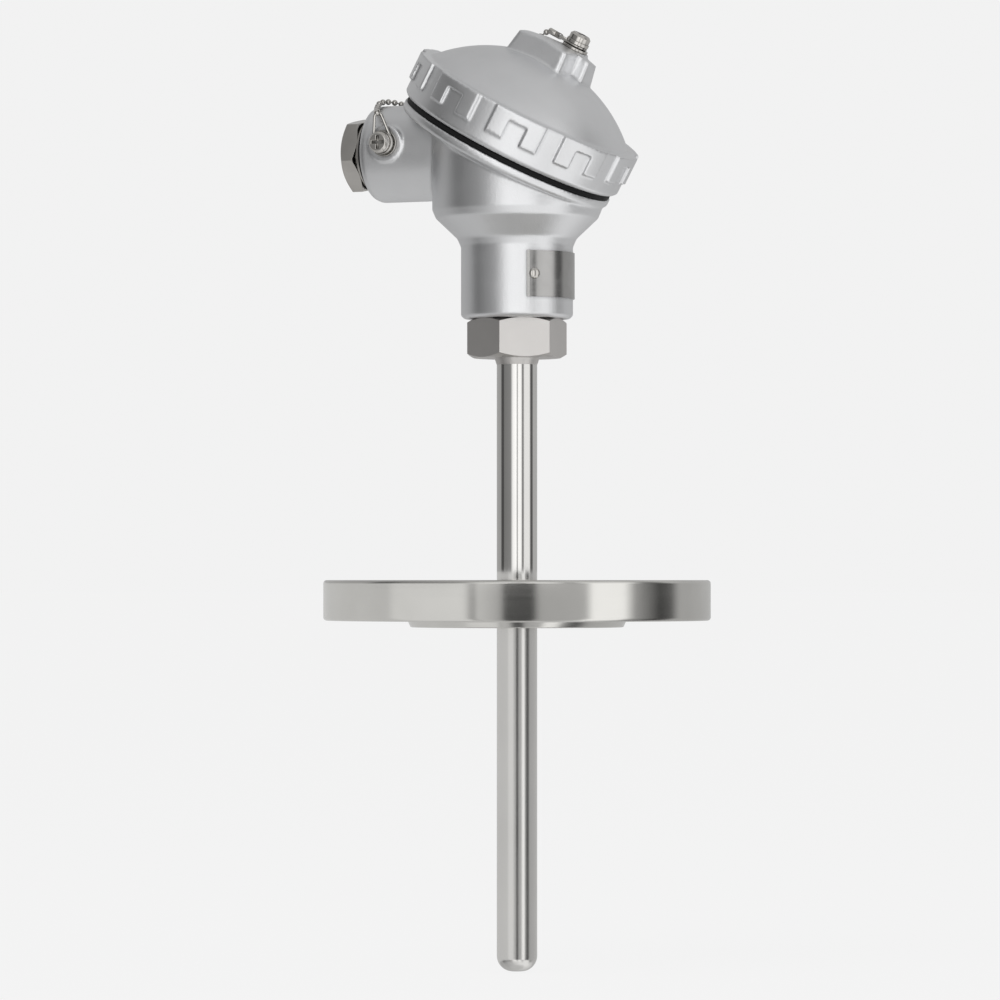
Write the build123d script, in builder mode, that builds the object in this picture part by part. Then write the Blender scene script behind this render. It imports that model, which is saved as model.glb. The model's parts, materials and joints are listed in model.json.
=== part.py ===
from build123d import *
from math import acos, cos, pi, radians, sin, sqrt, tan
import os

# Resistance thermometer with a screw-cap connection head on a flanged protection tube.
# Millimetres. The origin is the centre of the flange's raised sealing face, +Z up.
# The conduit boss points along -X and the oblique cap faces +X.

# Flange
flange_d = 115.0
flange_t = 12.0
raised_face_d = 65.0
raised_face_t = 2.0
raised_edge = 0.9
bolt_circle_d = 85.0
bolt_hole_d = 14.0
bolt_hole_count = 4
bolt_hole_turn = 45.0
flange_edge = 0.6

# Protection tube
tube_d = 12.0
tube_bore_d = 9.0
tube_tip_round = 4.6
tube_tip_wall = 4.0
tube_recess_h = 1.5
tube_recess_depth = 0.4
immersion_length = 102.0
extension_length = 66.0
weld_gap = 0.02

# Hexagon adaptor between the tube and the head
hex_af = 26.0
hex_h = 11.6
hex_turn = 34.4
hex_chamfer_deg = 30.0
hex_bore_d = 9.6
tube_socket_depth = 15.0
weld_leg = 0.7
weld_h = 2.0
neck_thread_d = 22.0
neck_thread_l = 13.0
thread_gap = 0.05
thread_chamfer = 0.8

# Head casting
neck_d = 33.3
neck_h = 22.8
neck_chamfer = 1.0
cone_h = 8.1
barrel_d = 50.4
cast_round = 1.5
neck_bore_d = 19.0
floor_h = 34.4
cavity_spring_gap = 1.7

# Oblique cap seat, on an axis tilted towards +X
cap_tilt = 29.0
seat_x = -2.9
seat_h = 50.7
rim_d = 67.6
rim_t = 2.6
rim_edge = 0.7
rim_root_d = 44.0
rim_root_h = 5.2
mouth_d = 55.0
spigot_d = 62.0
spigot_h = 8.4

# Cap
gasket_in_d = 62.4
gasket_out_d = 66.8
gasket_t = 1.65
cap_gap = 0.05
cap_d = 70.0
cap_rim_h = 13.4
cap_foot_edge = 1.0
cap_thread_gap = 0.15
cap_wall = 3.0
cap_hollow_top = 0.4
dome_r = 44.4
dome_rise = 14.1
pad_relief = 1.0
pad_count = 10
pad_turn = 23.25
pad_gap_deg = 10.0
pad_notch_deg = 9.6
pad_foot = 4.9
pad_bar = 2.7
lug_h = 6.0
lug_half_l = 12.1
lug_half_w = 8.8
lug_step = 8.2
lug_mid = 0.4
lug_taper = 8.0
lug_corner_r = 1.2
lug_root = 24.0
lug_turn = -2.4

# Conduit boss and cable gland
boss_d = 29.0
boss_h = 50.4
boss_reach = 46.0
boss_edge = 2.0
boss_bevel = 0.6
gland_thread_d = 20.0
gland_thread_depth = 14.0
gland_gap = 0.1
passage_d = 15.0
gland_gasket_t = 1.3
gland_gasket_d = 22.4
gland_collar_d = 20.3
gland_collar_t = 1.1
gland_af = 20.5
gland_hex_l = 5.1
gland_hex_turn = 48.5
gland_bore_d = 14.6
grommet_l = 5.0
grommet_hole_d = 8.0
gland_washer_t = 1.0
gland_washer_hole_d = 10.0
soft_gap = 0.05

# Chain screws with their washers and links
post_u = 3.0
post_v = 4.4
post_seat = 20.1
post_pad_d = 9.2
pad_screw_inset = 9.4
pad_screw_rise = 2.1
pad_screw_pad_d = 11.0
pad_screw_pad_h = 0.35
pad_root_wall = 1.5
chain_screw_d = 4.0
chain_screw_l = 3.4
chain_head_d = 6.4
chain_head_t = 2.2
chain_head_edge = 0.7
cross_l = 4.0
hole_run_out = 0.3
washer_d = 8.0
washer_t = 0.8
spring_washer_d = 7.0
spring_washer_t = 1.0
washer_hole_gap = 0.15
link_wire_d = 0.9
link_ring_r = 3.0
link_nose_r = 1.2
link_nose_bends = 4
link_ring_bends = 10
link_wire_sides = 8
cap_link_reach = 6.0
body_link_reach = 9.1
body_link_lean = 11.0
coupler_aim = (4.0, -9.4, 13.0)
coupler_d = 1.9
coupler_l = 2.6
coupler_edge = 0.25
tongue_t = 0.7
tongue_w = 1.8
tongue_l = 2.2
tongue_hole_d = 1.3

# Ball chain
bead_d = 1.8
bead_pitch = 2.4
chain_wire_d = 0.5
bead_sides = 8
chain_wire_sides = 6
chain_rest_gap = 0.35
chain_end_pull = (0.5, 0.3)

# Nameplate
plate_h = 13.6
plate_t = 0.5
plate_half_angle = 55.5
plate_gap = 0.02
plate_rise = 12.7
rivet_angle = 47.8
rivet_d = 1.6
rivet_head_d = 3.3
rivet_head_t = 0.8
rivet_head_edge = 0.4
rivet_l = 3.0

# Measuring insert
base_plate_gap = 0.5
base_plate_t = 1.5
insert_screw_span = 33.0
insert_screw_d = 4.0
insert_screw_hole_d = 4.6
insert_screw_depth = 7.5
insert_head_d = 7.2
insert_head_t = 2.4
insert_head_edge = 0.5
spring_l = 13.0
spring_d = 5.8
spring_wire_d = 0.8
spring_turns = 5
spring_bends = 10
spring_wire_sides = 6
spring_end_gap = 0.02
block_gap = 2.5
block_h = 11.0
block_notch_d = 9.2
block_hole_d = 8.0
block_edge = 0.8
terminal_count = 4
terminal_circle_r = 10.5
terminal_l = 6.0
terminal_w = 5.6
terminal_h = 7.0
terminal_sink = 3.0
terminal_gap = 0.1
terminal_wire_hole_d = 1.3
terminal_wire_rise = 5.0
terminal_screw_d = 3.0
terminal_head_d = 5.0
terminal_head_t = 1.8
terminal_head_edge = 0.4
sheath_d = 6.0
sheath_bore_d = 4.8
sheath_rise = 1.0
sheath_tip_gap = 0.5
sheath_tip_wall = 1.0
element_d = 4.2
element_l = 15.0
element_edge = 0.4
lead_count = 3
lead_d = 0.7
lead_circle_r = 1.1
lead_bend = 1.5
lead_sides = 6
slot_w = 1.0
slot_depth = 1.1

# Heights and places that follow from the sizes above
flange_top_z = raised_face_t + flange_t
hex_z = flange_top_z + extension_length
head_z = hex_z + hex_h
cone_z = head_z + neck_h
barrel_z = cone_z + cone_h
floor_z = head_z + floor_h
boss_z = head_z + boss_h
seat_z = head_z + seat_h
tube_tip_z = -immersion_length
tube_top_z = hex_z + tube_socket_depth

cavity_d = insert_screw_span + spring_d + spring_wire_d + 2 * cavity_spring_gap
base_plate_d = cavity_d - 2 * base_plate_gap
block_d = cavity_d - 2 * block_gap

cap_foot_w = gasket_t + cap_gap
cap_top_w = cap_foot_w + cap_rim_h
dome_centre_w = cap_top_w + dome_rise - dome_r
post_seat_w = cap_top_w + post_seat

tilt = radians(cap_tilt)
cap_plane = Plane(
    origin=(seat_x, 0, seat_z),
    x_dir=(cos(tilt), 0, -sin(tilt)),
    z_dir=(sin(tilt), 0, cos(tilt)),
)
cap_section = Plane(origin=cap_plane.origin, x_dir=cap_plane.x_dir, z_dir=(0, -1, 0))
cap_axis = Axis(cap_plane.origin, cap_plane.z_dir)
boss_plane = Plane(origin=(0, 0, boss_z), x_dir=(0, 1, 0), z_dir=(-1, 0, 0))
boss_section = Plane(origin=(0, 0, boss_z), x_dir=(-1, 0, 0), z_dir=(0, -1, 0))
boss_axis = Axis((0, 0, boss_z), (-1, 0, 0))

gasket_end = boss_reach + gland_gasket_t
hex_start = gasket_end + gland_collar_t
hex_end = hex_start + gland_hex_l
gland_shoulder = boss_reach - gland_thread_depth
washer_start = gland_shoulder + grommet_l + soft_gap
shank_end = washer_start + gland_washer_t + soft_gap


def circle_edges(part, radius):
    """Round edges of one radius."""
    return [
        e for e in part.edges().filter_by(GeomType.CIRCLE) if abs(e.radius - radius) < 1e-3
    ]


def washer(plane, outer_d, inner_d, thickness):
    """Flat ring standing on a plane."""
    with BuildPart() as ring:
        with BuildSketch(plane):
            Circle(outer_d / 2)
            Circle(inner_d / 2, mode=Mode.SUBTRACT)
        extrude(amount=thickness)
    return ring


def turned(plane, angle):
    """The plane turned about its own normal, in degrees."""
    x_dir = plane.x_dir * cos(radians(angle)) + plane.y_dir * sin(radians(angle))
    return Plane(origin=plane.origin, x_dir=x_dir, z_dir=plane.z_dir)


# Flange with raised face and bolt holes
tube_hole_r = tube_d / 2 + weld_gap
with BuildPart() as flange:
    with BuildSketch(Plane.XZ):
        with BuildLine():
            Polyline(
                (tube_hole_r, 0),
                (raised_face_d / 2 - raised_edge, 0),
                (raised_face_d / 2, raised_face_t),
                (flange_d / 2, raised_face_t),
                (flange_d / 2, flange_top_z),
                (tube_hole_r, flange_top_z),
                close=True,
            )
        make_face()
    revolve(axis=Axis.Z)
    chamfer(circle_edges(flange, flange_d / 2), flange_edge)
    with BuildSketch(Plane.XY.offset(raised_face_t)):
        with PolarLocations(bolt_circle_d / 2, bolt_hole_count, start_angle=bolt_hole_turn):
            Circle(bolt_hole_d / 2)
    extrude(amount=flange_t, mode=Mode.SUBTRACT)

# Closed tube with a rounded tip and a recess for the weld inside the raised face
with BuildPart() as protection_tube:
    with BuildSketch(Plane.XZ) as tube_outline:
        with BuildLine():
            Polyline(
                (0, tube_tip_z),
                (tube_d / 2, tube_tip_z),
                (tube_d / 2, tube_top_z),
                (tube_bore_d / 2, tube_top_z),
                (tube_bore_d / 2, tube_tip_z + tube_tip_wall),
                (0, tube_tip_z + tube_tip_wall),
                close=True,
            )
        make_face()
        fillet(tube_outline.vertices().group_by(Axis.Y)[0].sort_by(Axis.X)[-1], tube_tip_round)
    revolve(axis=Axis.Z)
    with BuildSketch(Plane.XY):
        Circle(tube_d / 2)
        Circle(tube_d / 2 - tube_recess_depth, mode=Mode.SUBTRACT)
    extrude(amount=tube_recess_h, mode=Mode.SUBTRACT)

# Hexagon adaptor: chamfered hexagon, male thread above, tube socket below
hex_corner_r = hex_af / 2 / cos(radians(30))
hex_bevel = (hex_corner_r - hex_af / 2) * tan(radians(hex_chamfer_deg))
with BuildPart() as hex_adaptor:
    with BuildSketch(Plane.XY.offset(hex_z)):
        RegularPolygon(hex_corner_r, 6, rotation=hex_turn)
    extrude(amount=hex_h)
    with BuildSketch(Plane.XZ):
        with BuildLine():
            Polyline(
                (0, hex_z),
                (hex_af / 2, hex_z),
                (hex_corner_r, hex_z + hex_bevel),
                (hex_corner_r, head_z - hex_bevel),
                (hex_af / 2, head_z),
                (0, head_z),
                close=True,
            )
        make_face()
    revolve(axis=Axis.Z, mode=Mode.INTERSECT)
    with BuildSketch(Plane.XZ):
        with BuildLine():
            Polyline(
                (0, head_z),
                (neck_thread_d / 2, head_z),
                (neck_thread_d / 2, head_z + neck_thread_l - thread_chamfer),
                (neck_thread_d / 2 - thread_chamfer, head_z + neck_thread_l),
                (0, head_z + neck_thread_l),
                close=True,
            )
        make_face()
        with BuildLine():
            Polyline(
                (0, hex_z - weld_h),
                (tube_hole_r, hex_z - weld_h),
                (tube_hole_r + weld_leg, hex_z),
                (0, hex_z),
                close=True,
            )
        make_face()
    revolve(axis=Axis.Z)
    with BuildSketch(Plane.XY.offset(hex_z - weld_h)):
        Circle(tube_hole_r)
    extrude(amount=weld_h + tube_socket_depth, mode=Mode.SUBTRACT)
    with BuildSketch(Plane.XY.offset(hex_z)):
        Circle(hex_bore_d / 2)
    extrude(amount=hex_h + neck_thread_l, mode=Mode.SUBTRACT)

# Head casting: neck, cone and barrel round the stem axis
with BuildPart() as head_body:
    with BuildSketch(Plane.XZ):
        with BuildLine():
            Polyline(
                (0, head_z),
                (neck_d / 2 - neck_chamfer, head_z),
                (neck_d / 2, head_z + neck_chamfer),
                (neck_d / 2, cone_z),
                (barrel_d / 2, barrel_z),
                (barrel_d / 2, seat_z + barrel_d / 2),
                (0, seat_z + barrel_d / 2),
                close=True,
            )
        make_face()
    revolve(axis=Axis.Z)
    corner_z = (cone_z, barrel_z)
    corners = [e for e in head_body.edges().filter_by(GeomType.CIRCLE)
               if min(abs(e.arc_center.Z - z) for z in corner_z) < 1e-3]
    chamfer(corners, cast_round)
    # conduit boss towards -X
    boss_r = boss_d / 2
    with BuildSketch(boss_section):
        with BuildLine():
            Polyline(
                (0, 0),
                (0, boss_r),
                (boss_reach - boss_edge, boss_r),
                (boss_reach - boss_bevel, boss_r - boss_bevel),
                (boss_reach, boss_r - boss_edge),
                (boss_reach, 0),
                close=True,
            )
        make_face()
    revolve(axis=boss_axis)
    # rim under the oblique cap, with a shallow cone below
    with BuildSketch(cap_section) as rim_outline:
        with BuildLine():
            Polyline(
                (0, 0),
                (rim_d / 2, 0),
                (rim_d / 2, -rim_t),
                (rim_root_d / 2, -rim_root_h),
                (0, -rim_root_h),
                close=True,
            )
        make_face()
        chamfer(rim_outline.vertices().group_by(Axis.X)[-1].sort_by(Axis.Y)[0], rim_edge)
    revolve(axis=cap_axis)
    split(bisect_by=cap_plane, keep=Keep.BOTTOM)
    # threaded spigot that the cap screws on
    with BuildSketch(cap_plane):
        Circle(spigot_d / 2)
    extrude(amount=spigot_h)
    # wiring space and its oblique mouth
    with BuildSketch(cap_plane):
        Circle(mouth_d / 2)
    extrude(amount=spigot_h, mode=Mode.SUBTRACT)
    with BuildSketch(Plane.XY.offset(floor_z)):
        Circle(cavity_d / 2)
    extrude(amount=barrel_d, mode=Mode.SUBTRACT)
    # bore and female thread in the neck
    with BuildSketch(Plane.XY.offset(head_z)):
        Circle(neck_bore_d / 2)
    extrude(amount=floor_h, mode=Mode.SUBTRACT)
    with BuildSketch(Plane.XY.offset(head_z)):
        Circle(neck_thread_d / 2 + thread_gap)
    extrude(amount=neck_thread_l + thread_chamfer, mode=Mode.SUBTRACT)
    # cable passage and gland thread in the boss
    with BuildSketch(boss_plane):
        Circle(passage_d / 2)
    extrude(amount=boss_reach, mode=Mode.SUBTRACT)
    with BuildSketch(boss_plane.offset(gland_shoulder)):
        Circle(gland_thread_d / 2)
    extrude(amount=gland_thread_depth, mode=Mode.SUBTRACT)
    # tapped holes for the insert in the floor
    with BuildSketch(Plane.XY.offset(floor_z)):
        with Locations((0, insert_screw_span / 2), (0, -insert_screw_span / 2)):
            Circle(insert_screw_d / 2)
    extrude(amount=-insert_screw_depth - thread_chamfer, mode=Mode.SUBTRACT)
    # pad with a tapped hole for the chain screw
    pad_y = -(boss_d / 2 + pad_screw_pad_h)
    pad_plane = Plane(
        origin=(pad_screw_inset - boss_reach, pad_y, boss_z + pad_screw_rise),
        x_dir=(0, 0, 1),
        z_dir=(0, -1, 0),
    )
    pad_root = gland_thread_d / 2 + pad_root_wall
    with BuildSketch(pad_plane.offset(pad_y + pad_root)):
        Circle(pad_screw_pad_d / 2)
    extrude(amount=-pad_y - pad_root)
    with BuildSketch(pad_plane):
        Circle(chain_screw_d / 2)
    extrude(amount=-chain_screw_l - hole_run_out, mode=Mode.SUBTRACT)
    # rivet holes in the neck
    for side in (1, -1):
        rivet_dir = Vector(cos(radians(rivet_angle)), side * sin(radians(rivet_angle)), 0)
        rivet_hole = Plane(
            origin=rivet_dir * (neck_d / 2 - rivet_l) + Vector(0, 0, head_z + plate_rise),
            z_dir=rivet_dir,
        )
        with BuildSketch(rivet_hole):
            Circle(rivet_d / 2)
        extrude(amount=rivet_l + rivet_d, mode=Mode.SUBTRACT)

# Flat gasket between the rim and the cap
cap_gasket = washer(cap_plane, gasket_out_d, gasket_in_d, gasket_t)

# Screw cap with key-pattern grip pads, dome and stepped lug
cap_r = cap_d / 2
ledge_r = sqrt(dome_r**2 - (cap_top_w - dome_centre_w) ** 2)
inner_r = spigot_d / 2 + cap_thread_gap
inner_top_r = cap_hollow_top * inner_r
lug_reach = lug_half_l + lug_half_w
steep = cos(radians(45))


def inner_w(radius):
    """Height of the cap's hollow over the seat plane, one wall below the dome."""
    return dome_centre_w + sqrt((dome_r - cap_wall) ** 2 - radius**2)


with BuildPart() as lug_block:
    with BuildSketch(turned(cap_plane.offset(lug_root), lug_turn)):
        with BuildLine():
            Polyline(
                (-lug_half_l, -lug_half_w),
                (lug_step, -lug_half_w),
                (lug_step, -lug_mid),
                (lug_half_l, -lug_mid),
                (lug_half_l, lug_half_w),
                (-lug_step, lug_half_w),
                (-lug_step, lug_mid),
                (-lug_half_l, lug_mid),
                close=True,
            )
        make_face()
    extrude(amount=cap_top_w + dome_rise + 2 * lug_h - lug_root, taper=lug_taper)
    lug_corners = [e for e in lug_block.edges()
                   if abs((e @ 1 - e @ 0).normalized().dot(cap_plane.z_dir)) > steep]
    fillet(lug_corners, lug_corner_r)

with BuildPart() as cap:
    with BuildSketch(cap_section):
        with BuildLine():
            Polyline(
                (0, dome_centre_w + dome_r),
                (0, cap_foot_w),
                (cap_r, cap_foot_w),
                (cap_r, cap_top_w),
                (ledge_r, cap_top_w),
            )
            RadiusArc((ledge_r, cap_top_w), (0, dome_centre_w + dome_r), -dome_r)
        make_face()
    revolve(axis=cap_axis)
    # grip pads: a ring cut into ten key shapes
    with BuildSketch(cap_plane.offset(cap_foot_w + pad_foot)):
        Circle(cap_r + pad_relief)
        Circle(cap_r - pad_relief, mode=Mode.SUBTRACT)
    extrude(amount=cap_rim_h - pad_foot)
    cut_r = cap_r + 2 * pad_relief
    gap_half = cut_r * sin(radians(pad_gap_deg / 2))
    notch_half = cut_r * sin(radians(pad_notch_deg / 2))
    pad_pitch = 360 / pad_count
    with BuildSketch(cap_plane.offset(cap_foot_w)):
        with PolarLocations(0, pad_count, start_angle=pad_turn):
            Polygon((0, 0), (cut_r, -gap_half), (cut_r, gap_half), align=None)
        Circle(cap_r, mode=Mode.SUBTRACT)
    extrude(amount=cap_rim_h, mode=Mode.SUBTRACT)
    with BuildSketch(cap_plane.offset(cap_foot_w)):
        with PolarLocations(0, pad_count, start_angle=pad_turn + pad_pitch / 2):
            Polygon((0, 0), (cut_r, -notch_half), (cut_r, notch_half), align=None)
        Circle(cap_r, mode=Mode.SUBTRACT)
    extrude(amount=cap_rim_h - pad_bar, mode=Mode.SUBTRACT)
    foot_edges = [
        e for e in circle_edges(cap, cap_r)
        if abs(cap_plane.to_local_coords(e.arc_center).Z - cap_foot_w) < 1e-3
    ]
    chamfer(foot_edges, cap_foot_edge)
    # stepped lug, trimmed to a shell over the dome
    add(lug_block.part)
    with BuildSketch(cap_section):
        with BuildLine():
            trim_r = dome_r + lug_h
            trim_w = dome_centre_w + sqrt(trim_r**2 - lug_reach**2)
            top_w = dome_centre_w + trim_r
            RadiusArc((lug_reach, trim_w), (0, top_w), -trim_r)
            Polyline((0, top_w), (0, top_w + 2 * lug_h), (lug_reach, top_w + 2 * lug_h),
                     (lug_reach, trim_w))
        make_face()
    revolve(axis=cap_axis, mode=Mode.SUBTRACT)
    # round seat and tapped hole for the chain screw
    post_plane = Plane(
        origin=cap_plane.from_local_coords((post_u, post_v, post_seat_w)),
        x_dir=cap_plane.x_dir,
        z_dir=cap_plane.z_dir,
    )
    with BuildSketch(post_plane.offset(-lug_h)):
        Circle(post_pad_d / 2)
    extrude(amount=lug_h)
    with BuildSketch(post_plane):
        Circle(post_pad_d / 2)
    extrude(amount=lug_h, mode=Mode.SUBTRACT)
    with BuildSketch(post_plane):
        Circle(chain_screw_d / 2)
    extrude(amount=-chain_screw_l - hole_run_out, mode=Mode.SUBTRACT)
    # hollow with the female thread at its mouth
    with BuildSketch(cap_section):
        with BuildLine():
            Polyline(
                (0, 0),
                (inner_r, 0),
                (inner_r, inner_w(inner_r)),
                (inner_top_r, inner_w(inner_top_r)),
                (0, inner_w(inner_top_r)),
                close=True,
            )
        make_face()
    revolve(axis=cap_axis, mode=Mode.SUBTRACT)


def pan_screw(seat, head_d, head_t, shank_d, shank_l):
    """Cross-recessed pan head screw, its head standing on the seat plane."""
    with BuildPart() as screw:
        with BuildSketch(seat):
            Circle(head_d / 2)
        extrude(amount=head_t)
        chamfer(screw.edges().sort_by(Axis(seat.origin, seat.z_dir))[-1], chain_head_edge)
        with BuildSketch(seat):
            Circle(shank_d / 2)
        extrude(amount=-shank_l)
        with BuildSketch(seat.offset(head_t)):
            Rectangle(cross_l, slot_w)
            Rectangle(slot_w, cross_l)
        extrude(amount=-slot_depth, mode=Mode.SUBTRACT)
    return screw


def wire_link(plane, reach):
    """Teardrop wire link: a ring round the screw and a nose that points along +x of the plane."""
    nose_x = reach - link_nose_r
    lean = acos((link_ring_r - link_nose_r) / nose_x)
    points = []
    for i in range(link_nose_bends + 1):
        angle = lean * (2 * i / link_nose_bends - 1)
        points.append((nose_x + link_nose_r * cos(angle), link_nose_r * sin(angle)))
    for i in range(link_ring_bends + 1):
        angle = lean + 2 * (pi - lean) * i / link_ring_bends
        points.append((link_ring_r * cos(angle), link_ring_r * sin(angle)))
    with BuildPart() as link:
        with BuildLine(plane) as loop:
            Polyline(*points, close=True)
        loop_wire = loop.wires()[0]
        start = loop.edges().sort_by(SortBy.LENGTH)[-1]
        with BuildSketch(Plane(origin=start @ 0.5, z_dir=start % 0.5)):
            RegularPolygon(link_wire_d / 2, link_wire_sides)
        sweep(path=loop_wire, transition=Transition.RIGHT)
    return link


def chain_coupler(plane, reach):
    """Barrel with a flat eye: the eye holds the link's nose, the chain enters the barrel."""
    barrel_x = reach + tongue_l - tongue_hole_d / 2
    with BuildPart() as coupler:
        eye_plane = Plane(origin=plane.origin, x_dir=plane.x_dir, z_dir=-plane.y_dir)
        with BuildSketch(eye_plane.offset(-tongue_t / 2)):
            with Locations((reach, 0)):
                Circle(tongue_w / 2)
            with Locations(((reach + barrel_x) / 2, 0)):
                Rectangle(barrel_x - reach, tongue_w)
            with Locations((reach, 0)):
                Circle(tongue_hole_d / 2, mode=Mode.SUBTRACT)
        extrude(amount=tongue_t)
        barrel_start = plane.from_local_coords((barrel_x, 0, 0))
        with BuildSketch(Plane(origin=barrel_start, z_dir=plane.x_dir)):
            Circle(coupler_d / 2)
        extrude(amount=coupler_l)
        chamfer(coupler.faces().sort_by(Axis(plane.origin, plane.x_dir))[-1].edges(), coupler_edge)
    return coupler


# Chain screw on the cap: washer, link, spring washer, screw
link_start = washer_t + link_wire_d / 2
stack_top = washer_t + link_wire_d + spring_washer_t
screw_hole_d = chain_screw_d + 2 * washer_hole_gap
shank_d = chain_screw_d - 2 * thread_gap
cap_chain_washer = washer(post_plane, washer_d, screw_hole_d, washer_t)
cap_chain_spring_washer = washer(
    post_plane.offset(washer_t + link_wire_d), spring_washer_d, screw_hole_d, spring_washer_t
)
cap_chain_screw = pan_screw(
    post_plane.offset(stack_top), chain_head_d, chain_head_t, shank_d, stack_top + chain_screw_l
)
cap_link_plane = Plane(
    origin=post_plane.offset(link_start).origin,
    x_dir=cap_plane.x_dir * -1,
    z_dir=cap_plane.z_dir,
)
cap_chain_link = wire_link(cap_link_plane, cap_link_reach)
cap_chain_coupler = chain_coupler(cap_link_plane, cap_link_reach)

# Chain screw on the boss, with the same stack
body_chain_washer = washer(pad_plane, washer_d, screw_hole_d, washer_t)
body_chain_spring_washer = washer(
    pad_plane.offset(washer_t + link_wire_d), spring_washer_d, screw_hole_d, spring_washer_t
)
body_chain_screw = pan_screw(
    pad_plane.offset(stack_top), chain_head_d, chain_head_t, shank_d, stack_top + chain_screw_l
)
body_link_plane = turned(pad_plane.offset(link_start), body_link_lean)
body_chain_link = wire_link(body_link_plane, body_link_reach)
nose = body_link_plane.from_local_coords((body_link_reach, 0, 0))
body_coupler_aim = Vector(*coupler_aim) + Vector(-boss_reach, 0, boss_z)
body_coupler_x = (body_coupler_aim - nose).normalized()
body_coupler_plane = Plane(
    origin=nose - body_coupler_x * body_link_reach,
    x_dir=body_coupler_x,
    z_dir=body_coupler_x.cross(body_link_plane.y_dir),
)
body_chain_coupler = chain_coupler(body_coupler_plane, body_link_reach)

# Ball chain from the cap's coupler round the back of the cap to the boss
coupler_end = tongue_l - tongue_hole_d / 2 + coupler_l
cap_chain_start = cap_link_plane.from_local_coords((cap_link_reach + coupler_end, 0, 0))
body_chain_start = body_coupler_plane.from_local_coords((body_link_reach + coupler_end, 0, 0))
over_cap = [
    (-10.4, 5.6, 31.6), (-13.5, 10.0, 28.6), (-16.0, 16.5, 25.3), (-19.5, 24.0, 19.6),
    (-22.4, 28.8, 16.4), (-23.1, 29.3, 11.0), (-23.2, 29.4, 3.0), (-26.2, 24.5, -3.4),
]
# along the boss: distance from its end and the angle from its top line, towards +Y
over_boss = [
    (12.6, 42), (9.4, 29), (6.8, 16), (4.6, 3), (3.2, -9), (3.0, -20), (3.7, -30),
]
chain_wrap_r = boss_r + bead_d / 2 + chain_rest_gap
chain_points = [cap_chain_start]
chain_points += [cap_plane.from_local_coords(p) for p in over_cap]
for inset, angle in over_boss:
    y = chain_wrap_r * sin(radians(angle))
    z = boss_z + chain_wrap_r * cos(radians(angle))
    chain_points.append(Vector(inset - boss_reach, y, z))
chain_points += [body_chain_start]
with BuildLine() as chain_line:
    Spline(
        *chain_points,
        tangents=[cap_link_plane.x_dir, body_coupler_plane.x_dir * -1],
        tangent_scalars=chain_end_pull,
    )
chain_path = chain_line.edges()[0]
chain_length = chain_path.length
bead_count = int((chain_length - bead_d) / bead_pitch) + 1
lead_in = (chain_length - (bead_count - 1) * bead_pitch) / 2
bead_at = [chain_path.position_at((lead_in + i * bead_pitch) / chain_length)
           for i in range(bead_count)]
print("chain length", round(chain_length, 1), "beads", bead_count)
# a bead is a ball with flats, one of them square to the wire
with BuildPart() as bead:
    with BuildSketch(Plane.XY.offset(-bead_d / 2)):
        RegularPolygon(bead_d / 2, bead_sides, major_radius=False, rotation=180 / bead_sides)
    extrude(amount=bead_d)
    for side_plane in (Plane.XZ, Plane.YZ):
        with BuildSketch(side_plane.offset(-bead_d / 2)):
            RegularPolygon(bead_d / 2, bead_sides, major_radius=False, rotation=180 / bead_sides)
        extrude(amount=bead_d, mode=Mode.INTERSECT)
bead_planes = []
for i in range(bead_count):
    along = chain_path.tangent_at((lead_in + i * bead_pitch) / chain_length)
    across = Plane(origin=bead_at[i], z_dir=along)
    bead_planes.append(Plane(origin=bead_at[i], x_dir=across.x_dir, z_dir=across.y_dir))
with BuildPart() as bead_chain:
    with Locations(*bead_planes):
        add(bead.part)
    # each wire starts in a bead and ends in the next one, the outer two at the couplers
    spans = zip(bead_at[:-1], bead_at[1:])
    with BuildSketch(*[Plane(origin=start, z_dir=end - start) for start, end in spans]):
        RegularPolygon(chain_wire_d / 2, chain_wire_sides)
    extrude(amount=bead_pitch)
    end_spans = ((cap_chain_start, bead_at[0]), (body_chain_start, bead_at[-1]))
    with BuildSketch(*[Plane(origin=start, z_dir=end - start) for start, end in end_spans]):
        RegularPolygon(chain_wire_d / 2, chain_wire_sides)
    extrude(amount=lead_in)

# Gland nut: chamfered hexagon, collar and threaded shank, bored through
gland_corner_r = gland_af / 2 / cos(radians(30))
gland_bevel = (gland_corner_r - gland_af / 2) * tan(radians(hex_chamfer_deg))
shank_r = gland_thread_d / 2 - gland_gap
with BuildPart() as gland_nut:
    with BuildSketch(boss_plane.offset(hex_start)):
        RegularPolygon(gland_corner_r, 6, rotation=gland_hex_turn)
    extrude(amount=gland_hex_l)
    with BuildSketch(boss_section):
        with BuildLine():
            Polyline(
                (hex_start, 0),
                (hex_start, gland_af / 2),
                (hex_start + gland_bevel, gland_corner_r),
                (hex_end - gland_bevel, gland_corner_r),
                (hex_end, gland_af / 2),
                (hex_end, 0),
                close=True,
            )
        make_face()
    revolve(axis=boss_axis, mode=Mode.INTERSECT)
    with BuildSketch(boss_section):
        with BuildLine():
            Polyline(
                (shank_end, 0),
                (shank_end, shank_r - thread_chamfer),
                (shank_end + thread_chamfer, shank_r),
                (gasket_end, shank_r),
                (gasket_end, gland_collar_d / 2),
                (hex_start, gland_collar_d / 2),
                (hex_start, 0),
                close=True,
            )
        make_face()
    revolve(axis=boss_axis)
    with BuildSketch(boss_plane.offset(shank_end)):
        Circle(gland_bore_d / 2)
    extrude(amount=hex_end - shank_end, mode=Mode.SUBTRACT)

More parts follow.
